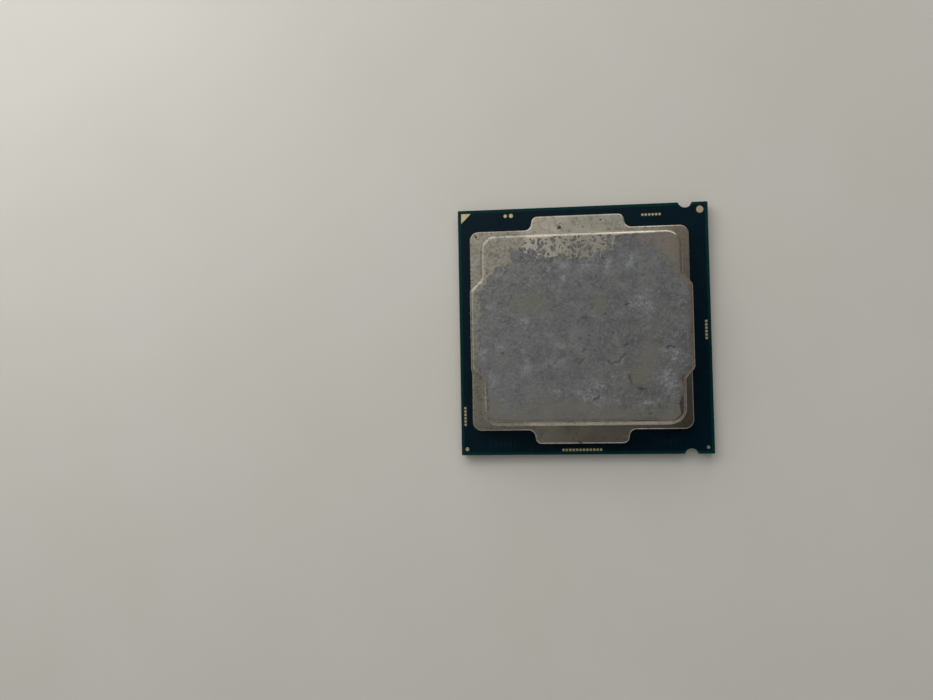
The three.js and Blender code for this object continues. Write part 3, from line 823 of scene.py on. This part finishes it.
def add_sealant():
    """The bead under the lid, with its vent gap, uneven edges and a squeezed-out lump by a tab."""
    low, high = node_box("lid_sealant")
    half_x, half_y = (high.x - low.x) / 2, (high.y - low.y) / 2
    width, vent = 2.1, 1.3
    inner_x, inner_y = half_x - width, half_y - width
    corners = [
        (half_x, vent, 0.5), (half_x, half_y, 1.35), (-half_x, half_y, 1.35),
        (-half_x, -half_y, 1.35), (half_x, -half_y, 1.35), (half_x, -vent, 0.5),
        (inner_x, -vent, 0.5), (inner_x, -inner_y, 1.0), (-inner_x, -inner_y, 1.0),
        (-inner_x, inner_y, 1.0), (inner_x, inner_y, 1.0), (inner_x, vent, 0.5),
    ]
    path = dense(moved(rounded(corners), LID_X, LID_Y), 0.25)
    squeeze = Vector((-8.3, -15.0))
    levels = []
    for up, bulge in ((0.0, 0.1), (0.25, 0.04), (0.5, 0.0), (0.75, 0.03), (1.0, 0.08)):
        loop = []
        for k, point in enumerate(path):
            tangent = (path[(k + 1) % len(path)] - path[k - 1]).normalized()
            outward = Vector((tangent.y, -tangent.x))
            wander = 0.12 * noise.noise(Vector((point.x / 1.7, point.y / 1.7, 3.1)))
            lump = 0.9 * math.exp(-((point - squeeze).length / 0.55) ** 2) if outward.y < -0.5 else 0.0
            loop.append(point + outward * (bulge + wander + lump - 0.1))
        levels.append((low.z + (high.z - low.z) * up, [loop]))
    finish_piece(new_object("sealant_bead", skin(levels)), ["lid_sealant"], [SEALANT])


def dense(outline, spacing):
    """The outline with its long stretches divided."""
    points = []
    for k, point in enumerate(outline):
        after = outline[(k + 1) % len(outline)]
        parts = max(1, math.ceil((after - point).length / spacing))
        points += [point.lerp(after, part / parts) for part in range(parts)]
    return points


# ---------- thermal paste ----------

PASTE_STEP = 0.16
PASTE_LIMIT = node_box("thermal_paste_residue")[1].z - LID_TOP


def lumps(x, y, size, layer):
    """Smooth noise from about -1 to 1 over arrays of points; layer picks one of many patterns."""
    values = [noise.noise(Vector((a / size, b / size, layer * 7.7))) for a, b in zip(x.ravel(), y.ravel())]
    return np.array(values).reshape(x.shape)


def distance_inside(x, y, outline):
    """Distance from each point to the outline, negative outside it."""
    nearest = np.full(x.shape, np.inf)
    inside = np.zeros(x.shape, bool)
    for k, start in enumerate(outline):
        end = outline[(k + 1) % len(outline)]
        run = end - start
        t = np.clip(((x - start.x) * run.x + (y - start.y) * run.y) / run.length_squared, 0, 1)
        nearest = np.minimum(nearest, np.hypot(x - start.x - t * run.x, y - start.y - t * run.y))
        if start.y != end.y:
            crossing = (start.y > y) != (end.y > y)
            inside ^= crossing & (x < start.x + run.x * (y - start.y) / run.y)
    return np.where(inside, nearest, -nearest)


def near(x, y, centre_x, centre_y, reach_x, reach_y):
    """1 at a centre, falling smoothly to 0 at about twice the reach."""
    return np.exp(-((x - centre_x) / reach_x) ** 2 - ((y - centre_y) / reach_y) ** 2)


def beyond(x, y, start, end):
    """Distance to the right of the line from start to end, negative to its left."""
    run = (Vector(end) - Vector(start)).normalized()
    return (x - start[0]) * run.y - (y - start[1]) * run.x


# places on the plateau: (x, y, reach along x, reach along y)
PALE_PATCHES = [
    (-7.6, 7.3, 0.5, 0.4), (-3.2, 7.3, 0.6, 0.6), (-3.5, 6.4, 0.4, 0.4), (-5.3, 9.0, 0.3, 0.3),
    (-3.3, 9.5, 1.0, 0.8), (-10.0, 11.6, 0.5, 0.3), (-12.3, 8.3, 0.7, 0.25), (-13.7, 3.6, 0.8, 0.4),
    (-9.0, 1.4, 1.0, 0.8), (6.7, 9.6, 1.3, 1.2), (3.7, 9.3, 0.8, 0.9), (0.9, 9.6, 1.6, 1.0),
    (8.6, 3.7, 1.6, 1.5), (-8.7, -5.5, 0.8, 0.8), (-12.2, -2.8, 0.5, 0.4), (-8.9, -3.0, 0.4, 0.5),
    (-14.5, -3.1, 0.5, 0.4), (-15.0, -3.9, 0.4, 0.6), (-13.6, -7.3, 0.6, 1.6), (-5.3, -1.3, 0.5, 0.4),
    (-4.3, -2.1, 0.7, 0.4), (-3.0, -2.7, 0.6, 0.3), (-4.2, -5.0, 1.0, 0.3), (-4.3, -9.1, 0.8, 0.4),
    (-12.3, -10.4, 0.4, 0.2), (1.5, -9.9, 2.2, 2.0), (1.3, -11.5, 0.8, 0.6), (4.7, -7.5, 1.0, 0.9),
    (8.7, -10.9, 1.3, 0.5), (11.8, -4.0, 1.8, 0.9), (11.4, -7.8, 1.6, 1.8),
]
OLIVE_SMEARS = [
    (-7.9, 4.0, 2.4, 1.1), (2.2, 3.4, 1.0, 1.5), (8.8, -4.8, 1.2, 2.3), (7.5, -7.4, 2.0, 1.5),
    (8.9, -12.6, 0.6, 0.4), (-3.0, -11.6, 7.0, 1.0),
]
# dark scrapes in the paste: each a line through its (x, y) points, or a pit where there is only one
SCARS = [
    [(5.8, 3.25), (6.6, 3.4)], [(7.5, 9.1)], [(5.6, -0.2)], [(-0.4, 1.55), (0.2, 1.5)], [(3.0, 2.0)],
    [(6.1, -1.3)], [(5.6, -2.7), (5.8, -2.5)], [(8.9, -1.9)], [(0.5, -1.0)], [(-0.5, -3.4), (-0.2, -3.1)],
    [(-0.9, -5.2), (-0.3, -4.5)],
    [(3.1, -4.8), (3.5, -5.2), (4.2, -5.25), (4.7, -4.9), (5.1, -4.4), (5.7, -3.8)], [(0.8, -4.0)],
    [(11.6, -3.05), (12.1, -2.85), (12.6, -3.05)], [(11.7, -10.2)], [(8.8, -12.6), (9.2, -12.5)],
    [(1.1, -10.4), (1.9, -9.9)], [(-12.4, -3.4), (-12.0, -3.6)], [(-0.6, -1.6)],
    [(6.0, -7.1), (6.2, -7.6), (6.6, -8.5), (7.4, -8.9), (8.6, -9.0)],
]
# the corner wiped almost clean, an outline round it
WIPED_EDGE = [
    (-19.0, 5.2), (-15.3, 6.2), (-14.2, 8.0), (-13.0, 8.8), (-11.5, 8.7), (-10.8, 10.3), (-10.4, 12.0),
    (-8.1, 12.3), (-7.8, 13.2), (-7.8, 17.0), (-19.0, 17.0),
]


def marks(x, y, places):
    return np.maximum.reduce([near(x, y, *place) for place in places])


def scratches(x, y):
    """1 along the scars and 0 away from them."""
    nearest = np.full(x.shape, np.inf)
    for scar in SCARS:
        for start, end in zip(scar, scar[1:] or scar):
            run = Vector(end) - Vector(start)
            t = ((x - start[0]) * run.x + (y - start[1]) * run.y) / max(run.length_squared, 1e-6)
            t = np.clip(t, 0, 1)
            nearest = np.minimum(nearest, np.hypot(x - start[0] - t * run.x, y - start[1] - t * run.y))
    return np.exp(-(nearest / 0.16) ** 2)


def paste_cover(x, y, coarse, medium, fine):
    """How far each point is inside the paste, in millimetres, negative where the metal is bare."""
    rim = plateau_outline(PLATEAU_DRAFT + PLATEAU_RIM, BULGE_DRAFT + BULGE_RIM)
    edge = distance_inside(x, y, rim)
    west = near(x, y, -16.3, 1.2, 1.8, 5.8)
    ragged = edge + 0.12 - 0.4 * np.abs(coarse) - west * (1.0 + 2.2 * medium + 2.0 * fine)
    outside = -distance_inside(x, y, [Vector(point) for point in WIPED_EDGE])
    wiped = outside + 0.5 * coarse + 0.7 * medium + 0.5 * fine
    drift = x + 1.6 * coarse + 0.8 * medium
    veiny = np.clip((y - 9.4 + coarse) / 2.8, 0, 1) * np.clip((drift + 9.5) / 2, 0, 1)
    veiny = veiny * np.clip((5.4 - drift) / 3, 0, 1)
    threads = np.minimum(np.abs(lumps(x, y, 1.0, 5)), np.abs(lumps(x, y, 0.7, 6)) + 0.04)
    network = 2.5 * (threads - 0.18 * np.sqrt(veiny)) + 0.5 * (1 - veiny) ** 4
    worn = 1.2 - 2.2 * near(x, y, 14.1, -11.5, 1.0, 2.6) + 0.5 * coarse + 0.3 * medium
    return np.minimum.reduce([ragged, wiped, network, worn])


def paste_wear(x, y, cover, coarse, medium, fine):
    """Four maps from 0 to 1: metal showing through, pale crust, olive smear, dark scars and outlines."""
    wander = 0.9 * coarse + 0.7 * medium + 0.3 * fine
    north_east = -beyond(x, y, (7.8, 13.4), (12.6, 7.8))
    south_east = -beyond(x, y, (14.7, -6.4), (12.2, -10.5))
    south_west = np.maximum(-beyond(x, y, (-11.9, -10.6), (-15.8, -4.9)), -11.2 - y)
    film = np.clip((np.maximum(north_east, south_east) + wander) / 2.0, 0, 1) * 0.6
    smooth = np.clip((south_west + wander) / 1.5, 0, 1) * 0.6
    streaks = np.abs(lumps(0.8 * x + 0.6 * y, 3.2 * y - 2.4 * x, 1.6, 11))
    brushed = np.clip(0.10 - streaks, 0, 0.1) * 6 * near(x, y, -10.5, 7.0, 4.5, 3.6)
    thin = np.clip(np.maximum.reduce([0.5 - cover / 0.2, film, brushed]), 0, 1)
    bent_x, bent_y = x + 0.7 * coarse + 0.5 * medium, y + 0.7 * lumps(x, y, 1.5, 12) + 0.3 * fine
    crust = marks(bent_x, bent_y, PALE_PATCHES) + 0.3 * np.clip(lumps(x, y, 2.0, 13) - 0.15, 0, 1)
    pale = np.clip(crust * (0.75 + 1.1 * medium + 0.9 * fine), 0, 1) * (1 - smooth)
    olive = np.clip(np.maximum(marks(bent_x, bent_y, OLIVE_SMEARS) * 0.8, smooth), 0, 0.85)
    scar_x, scar_y = x + 0.25 * medium, y + 0.25 * lumps(x, y, 0.6, 14)
    depth = 0.9 + 0.9 * lumps(x, y, 0.9, 15)
    outline = np.exp(-((cover - 0.14) / 0.1) ** 2) * (0.45 + 0.6 * medium)
    dark = np.clip(np.maximum(scratches(scar_x, scar_y) * depth - 0.1, outline), 0, 0.75)
    return thin, pale, olive, dark


def add_paste():
    xs = np.arange(LID_X - LID_HALF_X, LID_X + LID_HALF_X + PASTE_STEP, PASTE_STEP)
    ys = np.arange(LID_Y - LID_HALF_Y, LID_Y + LID_HALF_Y, PASTE_STEP)
    x, y = np.meshgrid(xs, ys, indexing="ij")
    coarse, medium, fine = lumps(x, y, 2.4, 1), lumps(x, y, 0.8, 2), lumps(x, y, 0.35, 3)
    cover = paste_cover(x, y, coarse, medium, fine)
    wear = paste_wear(x, y, cover, coarse, medium, fine)
    relief = 0.5 + 0.4 * lumps(x, y, 3.2, 7) + 0.3 * medium + 0.25 * fine + 0.3 * wear[1] - 0.6 * wear[3]
    taper = np.clip(cover / 0.6, 0, 1)
    height = np.clip(relief * (0.25 + 0.75 * taper), 0.1, 1.0) * PASTE_LIMIT
    surface, painted, index = [], [], {}

    def corner(key, point, z, at):
        if key not in index:
            index[key] = len(surface)
            surface.append((*point, z))
            painted.append([field[at] for field in wear])
        return index[key]

    top = []
    for i in range(len(xs) - 1):
        for j in range(len(ys) - 1):
            around = ((i, j), (i + 1, j), (i + 1, j + 1), (i, j + 1))
            if all(cover[at] <= 0 for at in around):
                continue
            face = []
            for k, at in enumerate(around):
                after = around[(k + 1) % 4]
                if cover[at] > 0:
                    face.append(corner(at, (xs[at[0]], ys[at[1]]), height[at], at))
                if (cover[at] > 0) != (cover[after] > 0):
                    t = cover[at] / (cover[at] - cover[after])
                    across = xs[at[0]] + t * (xs[after[0]] - xs[at[0]])
                    along = ys[at[1]] + t * (ys[after[1]] - ys[at[1]])
                    face.append(corner(frozenset((at, after)), (across, along), 0.08 * PASTE_LIMIT, at))
            top.append(face)
    count = len(surface)
    vertices = [(px, py, LID_TOP + z) for px, py, z in surface]
    vertices += [(px, py, LID_TOP) for px, py, _ in surface]
    rims = {(a, face[(k + 1) % len(face)]) for face in top for k, a in enumerate(face)}
    faces = top + [[number + count for number in reversed(face)] for face in top]
    faces += [(a + count, b + count, b, a) for a, b in sorted(rims) if (b, a) not in rims]
    piece = new_object("dried_paste_film", (vertices, faces))
    colours = np.ones((2 * count, 4))
    colours[:, :3] = [row[:3] for row in painted * 2]
    paint = piece.data.attributes.new("wear", "FLOAT_COLOR", "POINT")
    paint.data.foreach_set("color", colours.ravel())
    dark = piece.data.attributes.new("dark", "FLOAT", "POINT")
    dark.data.foreach_set("value", [row[3] for row in painted * 2])
    finish_piece(piece, ["thermal_paste_residue"], [PASTE])


CRUMBS = [(-3.35, 15.35, 0.26), (-3.6, 15.2, 0.12), (-15.9, 14.35, 0.16), (-1.05, -16.75, 0.2),
          (2.75, 16.3, 0.14), (-0.8, -16.85, 0.1), (-16.2, 14.6, 0.09)]


def add_crumbs():
    """Small flattened lumps of old paste on the flange."""
    lumps_made = []
    for number, (x, y, radius) in enumerate(CRUMBS):
        levels = []
        for up, wide in ((0.0, 1.0), (0.35, 0.92), (0.7, 0.65), (0.95, 0.3)):
            outline = []
            for point in disc(x, y, radius * wide, 24):
                wobble = 0.35 * noise.noise(Vector((point.x * 5, point.y * 5, number)))
                outline.append(Vector((x, y)).lerp(point, 1 + wobble))
            levels.append((FLANGE_TOP + 0.04 * up, [outline]))
        lumps_made.append(skin(levels))
    thing = new_object("paste_crumbs", joined(lumps_made))
    thing.data.transform(Matrix.Scale(MM, 4))
    thing.data.materials.append(RESIDUE)
    thing.data.shade_smooth()
    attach(thing, "root")


# ---------- build ----------

add_plate("laminate_core", "substrate_core", LAMINATE, 0.02)
add_plate("lower_buildup", "lower_buildup_layer", BUILDUP, 0.012)
add_plate("upper_buildup", "upper_buildup_layer", BUILDUP, 0.012)
add_upper_mask()
add_upper_pads()
add_lands()
add_lower_mask()
for cad_node in sorted(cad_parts):
    if "capacitor" in cad_node:
        add_capacitor(cad_node)
add_bumps()
add_lid()
add_sealant()
add_paste()
add_crumbs()

DIE_MATERIALS = {"silicon_die": SILICON, "die_underfill": UNDERFILL, "die_thermal_layer": DIE_PASTE}
for cad_node, material in DIE_MATERIALS.items():
    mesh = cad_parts[cad_node].data
    mesh.materials.clear()
    mesh.materials.append(material)


# ---------- table, light and camera ----------

def add_table():
    finish = Finish("pale_table")
    cloud = finish.noise(30, 3)
    grain = finish.noise(0.5, 3)
    colour = finish.mix(finish.rescale(cloud, 0.3, 0.7), srgb(216, 213, 205), srgb(219, 217, 210))
    material = finish.drive(Base_Color=colour, Normal=finish.bump(grain, 0.01),
                            Roughness=finish.rescale(grain, 0.3, 0.7, 0.6, 0.75))
    half = 6000
    corners = [(-half, -half, 0), (half, -half, 0), (half, half, 0), (-half, half, 0)]
    table = new_object("table", (corners, [(0, 1, 2, 3)]))
    table.data.transform(Matrix.Scale(MM, 4))
    table.data.materials.append(material)


WINDOW_DIRECTION = Vector((-0.34, 0.62, 0.7))
WINDOW_GLOW = 0.85
WINDOW_SPREAD = 3.4
WINDOW_FOCUS = 10.5
WALL_GLOW = 0.16
ROOM_DIRECTION = Vector((0.1, -0.85, 0.5))
ROOM_GLOW = 0.2
ROOM_FOCUS = 4.0
SHADE_DIRECTION = Vector((0.15, -0.05, 1.0))
SHADE_INNER = math.radians(7)
SHADE_OUTER = math.radians(19)
DAYLIGHT = (1.0, 0.99, 0.97)


def add_softbox(name, place, size, power, tint, aim=(0, 0, 0), glossy=True):
    """A rectangular light at a place, aimed at a point; glossy lights show up in shiny surfaces."""
    light = bpy.data.lights.new(name, "AREA")
    light.shape = "RECTANGLE"
    light.size, light.size_y = size[0] * MM, size[1] * MM
    light.energy = power
    light.color = tint
    lamp = bpy.data.objects.new(name, light)
    lamp.location = Vector(place) * MM
    lamp.rotation_mode = "QUATERNION"
    lamp.rotation_quaternion = (Vector(aim) * MM - lamp.location).to_track_quat("-Z", "Y")
    lamp.visible_camera = False
    lamp.visible_glossy = glossy
    bpy.context.scene.collection.objects.link(lamp)


def add_world():
    """A pale room, brighter to the south, with a large window to the upper left, and a dark patch
    straight above: the photographer."""
    world = bpy.data.worlds.new("room")
    bpy.context.scene.world = world
    world.use_nodes = True
    room = Nodes(world.node_tree)
    direction = room.add("TexCoord").outputs["Generated"]

    def cosine_to(target):
        inputs = {0: direction, 1: target.normalized()}
        return room.add("VectorMath", inputs, operation="DOT_PRODUCT").outputs["Value"]

    def falloff(target, focus):
        off_centre = room.calc("SUBTRACT", cosine_to(target), 1.0)
        return room.calc("EXPONENT", room.times(off_centre, focus))

    spread = room.times(falloff(WINDOW_DIRECTION, WINDOW_FOCUS), WINDOW_SPREAD)
    window = room.calc("SUBTRACT", 1.0, room.calc("EXPONENT", room.times(spread, -1.0)))
    inner, outer = math.cos(SHADE_INNER), math.cos(SHADE_OUTER)
    shade = room.rescale(cosine_to(SHADE_DIRECTION), inner, outer, smooth=True)
    south = room.times(falloff(ROOM_DIRECTION, ROOM_FOCUS), ROOM_GLOW)
    walls = room.times(shade, room.calc("ADD", south, WALL_GLOW))
    glow = room.calc("ADD", room.times(window, WINDOW_GLOW), walls)
    background = room.tree.nodes["Background"]
    room.tree.links.new(glow, background.inputs["Strength"])
    background.inputs["Color"].default_value = (*DAYLIGHT, 1.0)


def add_camera():
    """The photograph was taken from almost straight above, a little to the left and below the middle."""
    camera = bpy.data.cameras.new("camera")
    camera.sensor_width = 36
    camera.lens = 27.05
    camera.clip_start = 10 * MM
    camera.clip_end = 10
    holder = bpy.data.objects.new("camera", camera)
    right = Vector((0.9952, -0.0176, -0.0966)).normalized()
    back = Vector((0.0959, -0.0370, 0.9947)).normalized()
    up = back.cross(right).normalized()
    right = up.cross(back)
    holder.matrix_world = Matrix((right, up, back)).transposed().to_4x4()
    holder.location = Vector((-7.48, -6.68, SUBSTRATE_TOP + 106.77)) * MM
    bpy.context.scene.collection.objects.link(holder)
    bpy.context.scene.camera = holder


add_table()
add_softbox("window_side", (-250, 450, 260), (1000, 300), 1.55, DAYLIGHT, glossy=False)
add_softbox("table_glow", (-115, 90, 90), (120, 120), 0.055, DAYLIGHT, (-110, 85, 0), glossy=False)
add_softbox("lamp", (110, 210, 190), (140, 140), 0.06, (1.0, 0.95, 0.9))
add_world()
add_camera()
bpy.context.scene.view_settings.view_transform = "Standard"
